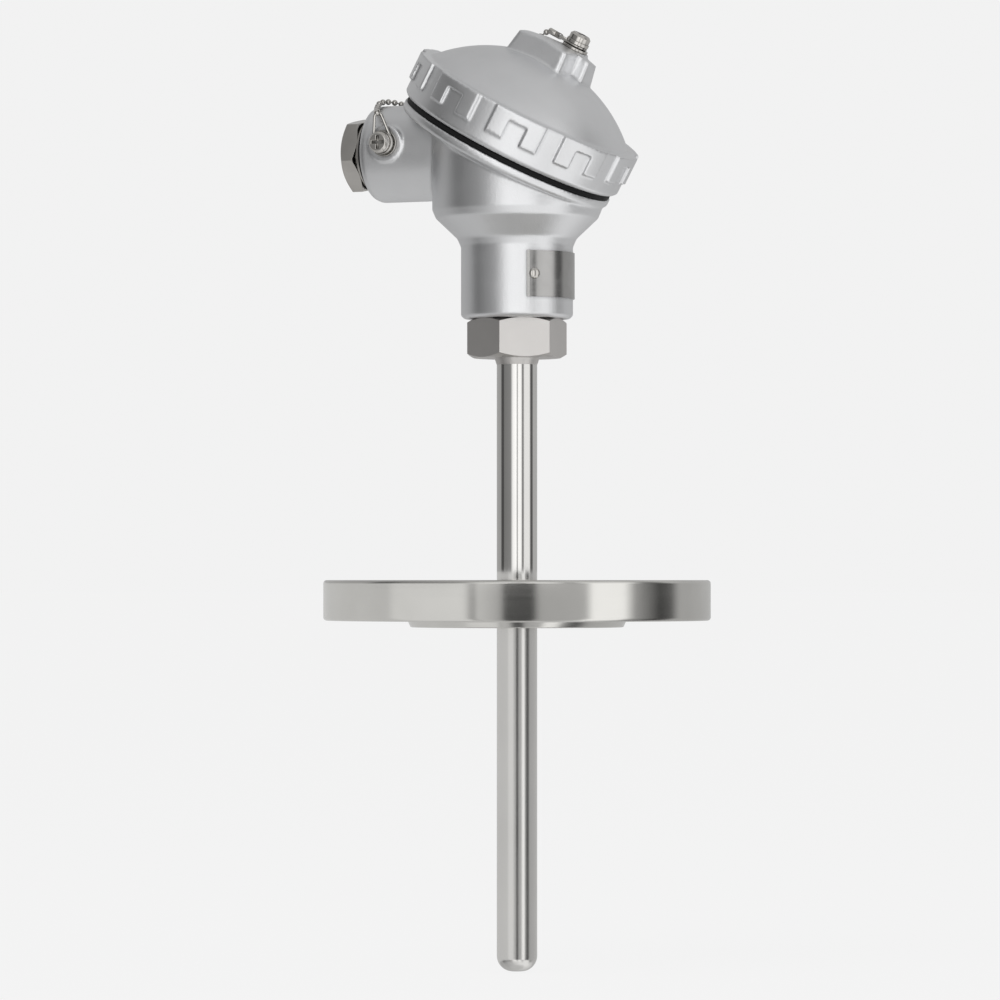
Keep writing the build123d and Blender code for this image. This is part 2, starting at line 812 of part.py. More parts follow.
# Seals of the gland
gland_gasket = washer(
    boss_plane.offset(boss_reach), gland_gasket_d, 2 * shank_r + 2 * soft_gap, gland_gasket_t
)
grommet_d = gland_thread_d - 2 * soft_gap
gland_grommet = washer(boss_plane.offset(gland_shoulder), grommet_d, grommet_hole_d, grommet_l)
gland_washer = washer(
    boss_plane.offset(washer_start), grommet_d, gland_washer_hole_d, gland_washer_t
)

# Nameplate bent round the neck, and its two rivets
plate_r = neck_d / 2 + plate_gap
with BuildPart() as nameplate:
    with BuildSketch(Plane.XY.offset(head_z + plate_rise - plate_h / 2)):
        Circle(plate_r + plate_t)
        Circle(plate_r, mode=Mode.SUBTRACT)
        wedge_y = neck_d * sin(radians(plate_half_angle))
        wedge_x = neck_d * cos(radians(plate_half_angle))
        Polygon((0, 0), (wedge_x, -wedge_y), (2 * neck_d, 0), (wedge_x, wedge_y),
                align=None, mode=Mode.INTERSECT)
    extrude(amount=plate_h)
    for side in (1, -1):
        rivet_dir = Vector(cos(radians(rivet_angle)), side * sin(radians(rivet_angle)), 0)
        with BuildSketch(Plane(origin=Vector(0, 0, head_z + plate_rise), z_dir=rivet_dir)):
            Circle(rivet_d / 2)
        extrude(amount=neck_d, mode=Mode.SUBTRACT)

with BuildPart() as nameplate_rivets:
    for side in (1, -1):
        rivet_dir = Vector(cos(radians(rivet_angle)), side * sin(radians(rivet_angle)), 0)
        rivet_foot = rivet_dir * (plate_r + plate_t) + Vector(0, 0, head_z + plate_rise)
        rivet_plane = Plane(origin=rivet_foot, z_dir=rivet_dir)
        with BuildSketch(rivet_plane):
            Circle(rivet_head_d / 2)
        extrude(amount=rivet_head_t)
        with BuildSketch(rivet_plane):
            Circle(rivet_d / 2 - weld_gap)
        extrude(amount=-rivet_l)
    head_rims = [e for e in circle_edges(nameplate_rivets, rivet_head_d / 2)
                 if Vector(e.arc_center.X, e.arc_center.Y, 0).length
                 > plate_r + plate_t + rivet_head_t / 2]
    chamfer(head_rims, rivet_head_edge)

# Insert: base plate, sheath, measuring element
insert_top_z = floor_z + base_plate_t
with BuildPart() as insert_base_plate:
    with BuildSketch(Plane.XY.offset(floor_z)):
        Circle(base_plate_d / 2)
        Circle(sheath_d / 2 + weld_gap, mode=Mode.SUBTRACT)
        with Locations((0, insert_screw_span / 2), (0, -insert_screw_span / 2)):
            Circle(insert_screw_hole_d / 2, mode=Mode.SUBTRACT)
    extrude(amount=base_plate_t)

sheath_tip_z = tube_tip_z + tube_tip_wall + sheath_tip_gap
sheath_top_z = insert_top_z + sheath_rise
element_z = sheath_tip_z + sheath_tip_wall
with BuildPart() as insert_sheath:
    with BuildSketch(Plane.XZ):
        with BuildLine():
            Polyline(
                (0, sheath_tip_z),
                (sheath_d / 2 - sheath_tip_wall, sheath_tip_z),
                (sheath_d / 2, sheath_tip_z + sheath_tip_wall),
                (sheath_d / 2, sheath_top_z),
                (sheath_bore_d / 2, sheath_top_z),
                (sheath_bore_d / 2, element_z),
                (0, element_z),
                close=True,
            )
        make_face()
    revolve(axis=Axis.Z)

with BuildPart() as rtd_element:
    with BuildSketch(Plane.XY.offset(element_z)):
        Circle(element_d / 2)
    extrude(amount=element_l)
    chamfer(rtd_element.edges().filter_by(GeomType.CIRCLE), element_edge)

# Ceramic block with notches for the springs and pockets for the terminals
block_top_z = insert_top_z + block_h
pocket_z = block_top_z - terminal_sink
terminal_angles = [45 + 360 / terminal_count * i for i in range(terminal_count)]
with BuildPart() as terminal_block:
    with BuildSketch(Plane.XY.offset(insert_top_z)):
        Circle(block_d / 2)
        with Locations((0, insert_screw_span / 2), (0, -insert_screw_span / 2)):
            Circle(block_notch_d / 2, mode=Mode.SUBTRACT)
        with Locations((0, block_d / 2), (0, -block_d / 2)):
            Rectangle(block_notch_d, block_d - insert_screw_span, mode=Mode.SUBTRACT)
        Circle(block_hole_d / 2, mode=Mode.SUBTRACT)
    extrude(amount=block_h)
    chamfer(terminal_block.faces().sort_by(Axis.Z)[-1].outer_wire().edges(), block_edge)
    with BuildSketch(Plane.XY.offset(pocket_z)):
        with PolarLocations(terminal_circle_r, terminal_count, start_angle=terminal_angles[0]):
            Rectangle(terminal_l + 2 * terminal_gap, terminal_w + 2 * terminal_gap)
    extrude(amount=terminal_sink, mode=Mode.SUBTRACT)

# Brass clamps with a radial wire hole and a tapped hole from above
terminal_top_z = pocket_z + terminal_h
wire_z = pocket_z + terminal_wire_rise
with BuildPart() as terminal_clamps:
    with BuildSketch(Plane.XY.offset(pocket_z)):
        with PolarLocations(terminal_circle_r, terminal_count, start_angle=terminal_angles[0]):
            Rectangle(terminal_l, terminal_w)
    extrude(amount=terminal_h)
    for angle in terminal_angles:
        out = Vector(cos(radians(angle)), sin(radians(angle)), 0)
        with BuildSketch(Plane(origin=Vector(0, 0, wire_z), z_dir=out)):
            Circle(terminal_wire_hole_d / 2)
        extrude(amount=terminal_circle_r + terminal_l, mode=Mode.SUBTRACT)
    with BuildSketch(Plane.XY.offset(terminal_top_z)):
        with PolarLocations(terminal_circle_r, terminal_count, start_angle=terminal_angles[0]):
            Circle(terminal_screw_d / 2)
    extrude(amount=wire_z - terminal_top_z, mode=Mode.SUBTRACT)

with BuildPart() as terminal_screws:
    with BuildSketch(Plane.XY.offset(terminal_top_z)):
        with PolarLocations(terminal_circle_r, terminal_count, start_angle=terminal_angles[0]):
            Circle(terminal_head_d / 2)
    extrude(amount=terminal_head_t)
    chamfer(terminal_screws.faces().group_by(Axis.Z)[-1].edges(), terminal_head_edge)
    with BuildSketch(Plane.XY.offset(terminal_top_z)):
        with PolarLocations(terminal_circle_r, terminal_count, start_angle=terminal_angles[0]):
            Circle(terminal_screw_d / 2 - thread_gap)
    extrude(amount=wire_z + lead_d / 2 + soft_gap - terminal_top_z)
    with BuildSketch(Plane.XY.offset(terminal_top_z + terminal_head_t)):
        with PolarLocations(terminal_circle_r, terminal_count, start_angle=terminal_angles[0]):
            Rectangle(terminal_head_d, slot_w)
    extrude(amount=-slot_depth, mode=Mode.SUBTRACT)

# Three leads from the element to three terminals
lead_z = element_z + element_l
lead_end_r = terminal_circle_r + terminal_l / 4
with BuildPart() as lead_wires:
    for angle in terminal_angles[:lead_count]:
        out = Vector(cos(radians(angle)), sin(radians(angle)), 0)
        foot = out * lead_circle_r + Vector(0, 0, lead_z)
        with BuildLine() as lead_line:
            Polyline(
                foot,
                out * lead_circle_r + Vector(0, 0, wire_z - lead_bend),
                out * (lead_circle_r + lead_bend) + Vector(0, 0, wire_z),
                out * lead_end_r + Vector(0, 0, wire_z),
            )
        with BuildSketch(Plane(origin=foot, z_dir=(0, 0, 1))):
            RegularPolygon(lead_d / 2, lead_sides)
        sweep(path=lead_line.wires()[0], transition=Transition.RIGHT)

# Spring-loaded screws that hold the insert down
spring_seat_z = insert_top_z + spring_l
with BuildPart() as insert_mounting_screws:
    with BuildSketch(Plane.XY.offset(spring_seat_z)):
        with Locations((0, insert_screw_span / 2), (0, -insert_screw_span / 2)):
            Circle(insert_head_d / 2)
    extrude(amount=insert_head_t)
    chamfer(insert_mounting_screws.faces().group_by(Axis.Z)[-1].edges(), insert_head_edge)
    with BuildSketch(Plane.XY.offset(spring_seat_z)):
        with Locations((0, insert_screw_span / 2), (0, -insert_screw_span / 2)):
            Circle(insert_screw_d / 2 - thread_gap)
    extrude(amount=-spring_l - base_plate_t - insert_screw_depth)
    with BuildSketch(Plane.XY.offset(spring_seat_z + insert_head_t)):
        with Locations((0, insert_screw_span / 2), (0, -insert_screw_span / 2)):
            Rectangle(insert_head_d, slot_w)
    extrude(amount=-slot_depth, mode=Mode.SUBTRACT)

coil_h = spring_l - spring_wire_d - 2 * spring_end_gap
coil_z = insert_top_z + spring_wire_d / 2 + spring_end_gap
with BuildPart() as insert_springs:
    for side in (1, -1):
        coil_points = []
        for i in range(spring_turns * spring_bends + 1):
            angle = 2 * pi * i / spring_bends
            rise = coil_h * i / (spring_turns * spring_bends)
            coil_points.append((
                spring_d / 2 * cos(angle),
                side * insert_screw_span / 2 + spring_d / 2 * sin(angle),
                coil_z + rise,
            ))
        with BuildLine() as coil:
            Polyline(*coil_points)
        coil_wire = coil.wires()[0]
        with BuildSketch(Plane(origin=coil_wire @ 0, z_dir=coil_wire % 0)):
            RegularPolygon(spring_wire_d / 2, spring_wire_sides)
        sweep(path=coil_wire, transition=Transition.RIGHT)

os.makedirs("parts", exist_ok=True)
pieces = {
    "flange": flange,
    "protection_tube": protection_tube,
    "hex_adaptor": hex_adaptor,
    "head_body": head_body,
    "nameplate": nameplate,
    "nameplate_rivets": nameplate_rivets,
    "cap_gasket": cap_gasket,
    "cap": cap,
    "cap_chain_washer": cap_chain_washer,
    "cap_chain_spring_washer": cap_chain_spring_washer,
    "cap_chain_screw": cap_chain_screw,
    "cap_chain_link": cap_chain_link,
    "cap_chain_coupler": cap_chain_coupler,
    "bead_chain": bead_chain,
    "body_chain_coupler": body_chain_coupler,
    "body_chain_link": body_chain_link,
    "body_chain_washer": body_chain_washer,
    "body_chain_spring_washer": body_chain_spring_washer,
    "body_chain_screw": body_chain_screw,
    "gland_nut": gland_nut,
    "gland_gasket": gland_gasket,
    "gland_washer": gland_washer,
    "gland_grommet": gland_grommet,
    "insert_base_plate": insert_base_plate,
    "insert_sheath": insert_sheath,
    "rtd_element": rtd_element,
    "lead_wires": lead_wires,
    "terminal_block": terminal_block,
    "terminal_clamps": terminal_clamps,
    "terminal_screws": terminal_screws,
    "insert_mounting_screws": insert_mounting_screws,
    "insert_springs": insert_springs,
}
for name, piece in pieces.items():
    piece.part.label = name
    export_step(piece.part, f"parts/{name}.step")
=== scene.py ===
import json
from math import atan2, cos, pi, radians, sin

import bmesh
import bpy
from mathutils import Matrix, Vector

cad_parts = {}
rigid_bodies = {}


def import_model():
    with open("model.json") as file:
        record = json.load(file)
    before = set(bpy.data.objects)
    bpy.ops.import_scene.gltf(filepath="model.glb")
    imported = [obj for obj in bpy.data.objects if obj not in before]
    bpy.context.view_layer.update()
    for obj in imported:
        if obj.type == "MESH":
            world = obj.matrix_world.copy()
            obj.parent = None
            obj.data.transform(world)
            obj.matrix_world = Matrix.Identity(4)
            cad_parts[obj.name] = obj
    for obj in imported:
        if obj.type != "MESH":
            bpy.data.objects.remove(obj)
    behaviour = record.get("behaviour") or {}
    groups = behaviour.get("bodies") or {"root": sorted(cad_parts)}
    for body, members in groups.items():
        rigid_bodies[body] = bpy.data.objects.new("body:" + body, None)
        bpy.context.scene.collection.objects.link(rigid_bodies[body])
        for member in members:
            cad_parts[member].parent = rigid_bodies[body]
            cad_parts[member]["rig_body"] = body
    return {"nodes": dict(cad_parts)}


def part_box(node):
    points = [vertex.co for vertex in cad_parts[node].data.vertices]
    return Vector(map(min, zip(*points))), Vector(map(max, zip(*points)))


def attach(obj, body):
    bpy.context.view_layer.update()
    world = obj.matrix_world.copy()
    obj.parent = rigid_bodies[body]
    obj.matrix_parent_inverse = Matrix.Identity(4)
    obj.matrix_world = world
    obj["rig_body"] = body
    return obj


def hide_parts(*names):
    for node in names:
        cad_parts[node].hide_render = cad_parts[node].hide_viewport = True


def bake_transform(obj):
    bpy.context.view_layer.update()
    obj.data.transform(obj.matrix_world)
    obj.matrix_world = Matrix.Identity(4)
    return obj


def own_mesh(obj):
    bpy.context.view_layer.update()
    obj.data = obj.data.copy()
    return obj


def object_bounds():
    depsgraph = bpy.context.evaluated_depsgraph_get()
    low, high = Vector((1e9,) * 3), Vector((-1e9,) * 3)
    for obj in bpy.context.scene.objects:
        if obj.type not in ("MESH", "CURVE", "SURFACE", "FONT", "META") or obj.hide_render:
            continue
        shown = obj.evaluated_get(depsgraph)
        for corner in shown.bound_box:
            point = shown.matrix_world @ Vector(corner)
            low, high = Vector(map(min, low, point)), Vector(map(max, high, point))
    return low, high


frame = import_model()
cadLow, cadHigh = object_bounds()
mm = 0.001
print("frame loaded,", len(frame["nodes"]), "nodes")


def addObject(name, data):
    made = bpy.data.objects.new(name, data)
    bpy.context.scene.collection.objects.link(made)
    return made


# Camera: level with the flange, far away and long, as the photo shows it
cameraSizes = {
    "turn": radians(24.6),     # how far the conduit boss is turned away from the picture plane
    "distance": 1.530,
    "height": 0.014,
    "aimAcross": -0.00505,
    "aimHeight": 0.0378,
    "focalPixels": 5150,
    "framePixels": 1000,
    "sensor": 36.0,
    "clip": (0.05, 50),
}


def makeCamera(sizes):
    right = Vector((cos(sizes["turn"]), sin(sizes["turn"]), 0))
    ahead = Vector((-sin(sizes["turn"]), cos(sizes["turn"]), 0))
    place = -ahead * sizes["distance"] + Vector((0, 0, sizes["height"]))
    target = right * sizes["aimAcross"] + Vector((0, 0, sizes["aimHeight"]))
    data = bpy.data.cameras.new("photoCamera")
    data.sensor_width = sizes["sensor"]
    data.lens = sizes["focalPixels"] / sizes["framePixels"] * sizes["sensor"]
    data.clip_start, data.clip_end = sizes["clip"]
    camera = addObject("photoCamera", data)
    camera.location = place
    camera.rotation_euler = (target - place).to_track_quat("-Z", "Y").to_euler()
    bpy.context.scene.camera = camera


makeCamera(cameraSizes)
bpy.context.scene.view_settings.view_transform = "Standard"
print("camera placed")


# Small helpers for node trees
def node(tree, kind, **settings):
    made = tree.nodes.new(kind)
    for name, value in settings.items():
        setattr(made, name, value)
    return made


def feed(tree, source, target, name):
    # source is a socket or a plain value
    if isinstance(source, bpy.types.NodeSocket):
        tree.links.new(source, target.inputs[name])
    else:
        target.inputs[name].default_value = source


def math(tree, operation, a, b=0.0):
    made = node(tree, "ShaderNodeMath", operation=operation)
    feed(tree, a, made, 0)
    feed(tree, b, made, 1)
    return made.outputs[0]


def mapRange(tree, value, source, target=(0.0, 1.0), **settings):
    made = node(tree, "ShaderNodeMapRange", **settings)
    tree.links.new(value, made.inputs["Value"])
    made.inputs["From Min"].default_value, made.inputs["From Max"].default_value = source
    made.inputs["To Min"].default_value, made.inputs["To Max"].default_value = target
    return made.outputs["Result"]


def scaled(tree, color, factor):
    made = node(tree, "ShaderNodeVectorMath", operation="SCALE")
    tree.links.new(color, made.inputs[0])
    tree.links.new(factor, made.inputs["Scale"])
    return made.outputs[0]


def grey(value):
    return (value, value, value, 1)


def ramp(tree, source, stops):
    made = node(tree, "ShaderNodeValToRGB")
    elements = made.color_ramp.elements
    while len(elements) < len(stops):
        elements.new(1.0)
    for element, (position, value) in zip(elements, stops):
        element.position = position
        element.color = (*([value] * 3 if isinstance(value, float) else value), 1)
    tree.links.new(source, made.inputs["Fac"])
    return made.outputs["Color"]


# Studio: a soft grey room with bright and dark strips round it, and a pale floor
studioSizes = {
    "backdrop": 0.887,
    "zenith": 0.50,
    "nadir": 0.60,
    "floorDrop": 0.0004,
    "floorSide": 80.0,
    "floorEmission": 0.899,
    "floorLit": 0.02,
    "floorColor": 0.8,
    "strips": [                # degrees to the right of the camera, brightness
        (-180, 0.46), (-106, 0.40), (-98, 0.10), (-84, 0.07), (-78, 0.22), (-36, 0.28),
        (-24, 1.15), (-3, 1.35), (-1, 0.55), (4, 0.50), (7, 1.30), (24, 1.20), (30, 0.26),
        (37, 0.26), (42, 1.00), (76, 1.00), (84, 0.14), (98, 0.10), (106, 0.50), (180, 0.48),
    ],
    "ceiling": [(-180, 0.44), (-100, 0.34), (-40, 0.36), (10, 0.56), (90, 0.60), (180, 0.44)],
    "ground": [(-180, 0.56), (-90, 0.46), (-40, 0.58), (20, 0.92), (90, 0.98), (180, 0.58)],
    "stripTop": (0.35, 0.80),   # height of the direction where the strips give way to the ceiling
    "stripFoot": (-0.75, -0.35),
    "zenithFrom": (0.80, 0.97),
    "nadirFrom": (-0.98, -0.84),
    "screenRadius": 0.075,      # a low screen close round the flange, seen only in its reflections
    "screenTop": 0.0166,
    "screenFoot": -0.13,
    "screenSides": 180,
    "screenStrips": [
        (-180, 0.60), (-52, 0.64), (-48, 0.78), (-19, 0.80), (-16, 0.30), (-14, 0.64),
        (-6, 0.44), (-4.5, 0.08), (5.5, 0.06), (8, 0.44), (25, 0.50), (28, 1.10), (41, 1.10),
        (46, 0.36), (59, 0.05), (66, 0.10), (72, 0.44), (180, 0.60),
    ],
}


def shareToCamera(tree, vector):
    # how far round from the back of the camera's view, 0 to 1, and the height
    turned = node(tree, "ShaderNodeVectorRotate", rotation_type="Z_AXIS")
    tree.links.new(vector, turned.inputs["Vector"])
    turned.inputs["Angle"].default_value = -cameraSizes["turn"]
    parts = node(tree, "ShaderNodeSeparateXYZ")
    tree.links.new(turned.outputs[0], parts.inputs[0])
    across, ahead, up = parts.outputs
    angle = math(tree, "ARCTAN2", across, math(tree, "MULTIPLY", ahead, -1.0))
    return math(tree, "ADD", math(tree, "DIVIDE", angle, 2 * pi), 0.5), up


def mixColors(tree, factor, a, b):
    made = node(tree, "ShaderNodeMix", data_type="RGBA")
    tree.links.new(factor, made.inputs["Factor"])
    for socket, value in ((6, a), (7, b)):
        feed(tree, grey(value) if isinstance(value, float) else value, made, socket)
    return made.outputs[2]


def stripRamp(tree, share, stops):
    return ramp(tree, share, [((a + 180) / 360, float(v)) for a, v in stops])


def makeRoom(sizes):
    world = bpy.data.worlds.new("studio")
    world.use_nodes = True
    bpy.context.scene.world = world
    tree = world.node_tree
    tree.nodes.clear()
    share, up = shareToCamera(tree, node(tree, "ShaderNodeTexCoord").outputs["Generated"])
    bands = ("strips", "ceiling", "ground")
    strips, ceiling, ground = (stripRamp(tree, share, sizes[band]) for band in bands)

    def blended(heights, lower, upper):
        blend = mapRange(tree, up, sizes[heights], interpolation_type="SMOOTHSTEP")
        return mixColors(tree, blend, lower, upper)

    above = blended("zenithFrom", ceiling, sizes["zenith"])
    below = blended("nadirFrom", sizes["nadir"], ground)
    room = blended("stripFoot", below, blended("stripTop", strips, above))
    seen = node(tree, "ShaderNodeBackground")
    seen.inputs["Color"].default_value = grey(sizes["backdrop"])
    mirrored = node(tree, "ShaderNodeBackground")
    tree.links.new(room, mirrored.inputs["Color"])
    mixed = node(tree, "ShaderNodeMixShader")
    tree.links.new(node(tree, "ShaderNodeLightPath").outputs["Is Camera Ray"], mixed.inputs[0])
    tree.links.new(mirrored.outputs[0], mixed.inputs[1])
    tree.links.new(seen.outputs[0], mixed.inputs[2])
    output = node(tree, "ShaderNodeOutputWorld")
    tree.links.new(mixed.outputs[0], output.inputs[0])


def makeFloor(sizes):
    half = sizes["floorSide"] / 2
    top = cadLow.z - sizes["floorDrop"]
    mesh = bpy.data.meshes.new("floor")
    corners = ((-half, -half), (half, -half), (half, half), (-half, half))
    mesh.from_pydata([(x, y, top) for x, y in corners], [], [(0, 1, 2, 3)])
    floor = addObject("floor", mesh)
    material = bpy.data.materials.new("paleFloor")
    material.use_nodes = True
    tree = material.node_tree
    tree.nodes.clear()
    lit = node(tree, "ShaderNodeBsdfDiffuse")
    lit.inputs["Color"].default_value = grey(sizes["floorColor"])
    glow = node(tree, "ShaderNodeEmission")
    glow.inputs["Color"].default_value = grey(sizes["floorEmission"])
    seen = node(tree, "ShaderNodeMixShader")
    seen.inputs[0].default_value = 1 - sizes["floorLit"]
    tree.links.new(lit.outputs[0], seen.inputs[1])
    tree.links.new(glow.outputs[0], seen.inputs[2])
    path = node(tree, "ShaderNodeLightPath")
    through = node(tree, "ShaderNodeBsdfTransparent")     # metal mirrors the room below it too
    bounced = node(tree, "ShaderNodeMixShader")
    tree.links.new(path.outputs["Is Glossy Ray"], bounced.inputs[0])
    tree.links.new(lit.outputs[0], bounced.inputs[1])
    tree.links.new(through.outputs[0], bounced.inputs[2])
    mixed = node(tree, "ShaderNodeMixShader")
    tree.links.new(path.outputs["Is Camera Ray"], mixed.inputs[0])
    tree.links.new(bounced.outputs[0], mixed.inputs[1])
    tree.links.new(seen.outputs[0], mixed.inputs[2])
    output = node(tree, "ShaderNodeOutputMaterial")
    tree.links.new(mixed.outputs[0], output.inputs["Surface"])
    mesh.materials.append(material)


def makeScreen(sizes):
    made = bmesh.new()
    rings = []
    radius, sides = sizes["screenRadius"], sizes["screenSides"]
    for height in (sizes["screenFoot"], sizes["screenTop"]):
        turns = [2 * pi * i / sides for i in range(sides)]
        rings.append([made.verts.new((radius * cos(t), radius * sin(t), height)) for t in turns])
    for i in range(sides):
        after = (i + 1) % sides
        made.faces.new((rings[0][i], rings[0][after], rings[1][after], rings[1][i]))
    mesh = bpy.data.meshes.new("lowScreen")
    made.to_mesh(mesh)
    made.free()
    screen = addObject("lowScreen", mesh)
    screen.visible_camera = screen.visible_diffuse = screen.visible_shadow = False
    material = bpy.data.materials.new("screenStrips")
    material.use_nodes = True
    tree = material.node_tree
    tree.nodes.clear()
    share = shareToCamera(tree, node(tree, "ShaderNodeTexCoord").outputs["Object"])[0]
    glow = node(tree, "ShaderNodeEmission")
    tree.links.new(stripRamp(tree, share, sizes["screenStrips"]), glow.inputs["Color"])
    output = node(tree, "ShaderNodeOutputMaterial")
    tree.links.new(glow.outputs[0], output.inputs["Surface"])
    mesh.materials.append(material)


lampSizes = {
    "key": {"turn": radians(-38), "rise": radians(48), "away": 1.6, "side": 0.9, "power": 22},
    "fill": {"turn": radians(60), "rise": radians(30), "away": 1.8, "side": 1.1, "power": 10},
}


def makeLamp(name, sizes):
    turn = cameraSizes["turn"] + sizes["turn"]
    level, up = cos(sizes["rise"]), sin(sizes["rise"])
    back = Vector((sin(turn) * level, -cos(turn) * level, up))
    data = bpy.data.lights.new(name, "AREA")
    data.shape, data.size, data.energy = "SQUARE", sizes["side"], sizes["power"]
    lamp = addObject(name, data)
    lamp.location = back * sizes["away"]
    lamp.rotation_euler = back.to_track_quat("Z", "Y").to_euler()
    lamp.visible_glossy = False     # the room's strips are what the metal mirrors


makeRoom(studioSizes)
makeFloor(studioSizes)
makeScreen(studioSizes)
for lampName, lampValues in lampSizes.items():
    makeLamp(lampName, lampValues)
print("studio lit")


# Finishes. Patterns read Object coordinates, so their scales are in features a metre
finishes = {
    "castPaint": {"color": (0.87, 0.875, 0.885), "metallic": 1.0, "roughness": (0.34, 0.42),
                  "grain": 2300, "grainDepth": 0.00004, "cloud": 55, "tint": 0.04,
                  # painted shade: colour darkened in crevices within this reach, down to this tone
                  "paintedShadeReach": 0.0012, "paintedShadeTone": 0.55,
                  "pitsEvery": 0.0075, "pitRadius": 0.00032, "pitDepth": 0.00012,
                  # pitPaintedShade: how much painted shade darkens the colour inside a pit
                  "pitDraw": 0.82, "pitPaintedShade": 0.6},
    "polished": {"color": (0.76, 0.75, 0.73), "metallic": 1.0, "roughness": (0.07, 0.12),
                 "grain": 900, "grainDepth": 0.000004, "cloud": 40, "tint": 0.03,
                 "below": 0.0, "belowRoughness": (0.17, 0.24)},
    "satin": {"color": (0.72, 0.70, 0.68), "metallic": 1.0, "roughness": (0.38, 0.42),
              "grain": 1500, "grainDepth": 0.000003, "cloud": 60, "tint": 0.04},
    "turned": {"color": (0.74, 0.73, 0.70), "metallic": 1.0, "roughness": (0.17, 0.26),
               "grain": 1300, "grainDepth": 0.000012, "cloud": 45, "tint": 0.05,
               "stretch": 0.75, "stretchTurn": 0.25},
    "nickel": {"color": (0.62, 0.60, 0.57), "metallic": 1.0, "roughness": (0.07, 0.14),
               "grain": 1800, "grainDepth": 0.000006, "cloud": 120, "tint": 0.08,
               # painted shade: colour darkened in crevices within this reach, down to this tone
               "paintedShadeReach": 0.0011, "paintedShadeTone": 0.22},
    "plate": {"color": (0.47, 0.465, 0.455), "metallic": 1.0, "roughness": (0.16, 0.25),
              "grain": 2200, "grainDepth": 0.000008, "cloud": 150, "tint": 0.08},
    "rubber": {"color": (0.005, 0.005, 0.0055), "metallic": 0.0, "roughness": (0.50, 0.70),
               "grain": 1500, "grainDepth": 0.00004, "cloud": 200, "tint": 0.25,
               "specular": 0.2},
    "ceramic": {"color": (0.80, 0.76, 0.69), "metallic": 0.0, "roughness": (0.25, 0.40),
                "grain": 1200, "grainDepth": 0.00002, "cloud": 90, "tint": 0.06},
    "brass": {"color": (0.72, 0.52, 0.24), "metallic": 1.0, "roughness": (0.20, 0.34),
              "grain": 1600, "grainDepth": 0.00001, "cloud": 200, "tint": 0.10},
    "tinned": {"color": (0.70, 0.68, 0.64), "metallic": 1.0, "roughness": (0.25, 0.40),
               "grain": 1500, "grainDepth": 0.00001, "cloud": 300, "tint": 0.08},
}
stretchOf = {       # how a finish's marks run: object X, Y and Z scale factors
    "polished": (1.0, 1.0, 0.02),
    "satin": (1.0, 1.0, 0.05),
    "plate": (0.1, 0.1, 1.0),
}


finishDetail = {     # the same for all finishes
    "noiseDetail": 3.0,
    "tintStops": (0.3, 0.7),
    "cloudShare": 0.6,          # of the roughness pattern, the rest is grain
    "patternSpan": (0.35, 0.65),
    # painted shade in crevices: occlusion range mapped to darkening, and its samples
    "paintedShadeSpan": (0.35, 0.95),
    "paintedShadeSamples": 6,
    "ringTurn": 0.0004,         # metres of pattern for a radian round a turned face
}


def noise(tree, vector, scale, detail):
    made = node(tree, "ShaderNodeTexNoise")
    tree.links.new(vector, made.inputs["Vector"])
    made.inputs["Scale"].default_value = scale
    made.inputs["Detail"].default_value = detail
    return made.outputs["Fac"]


def pitsHeight(tree, place, values):
    # a few small blowholes of the casting: one in each cell of a pattern, most of them left out
    cells = node(tree, "ShaderNodeTexVoronoi")
    tree.links.new(place, cells.inputs["Vector"])
    cells.inputs["Scale"].default_value = 1 / values["pitsEvery"]
    span = (0.0, values["pitRadius"] / values["pitsEvery"])
    hole = mapRange(tree, cells.outputs["Distance"], span, (1.0, 0.0),
                    interpolation_type="SMOOTHSTEP")
    drawn = node(tree, "ShaderNodeSeparateColor")
    tree.links.new(cells.outputs["Color"], drawn.inputs[0])
    kept = math(tree, "GREATER_THAN", drawn.outputs[0], values["pitDraw"])
    return math(tree, "MULTIPLY", hole, kept)


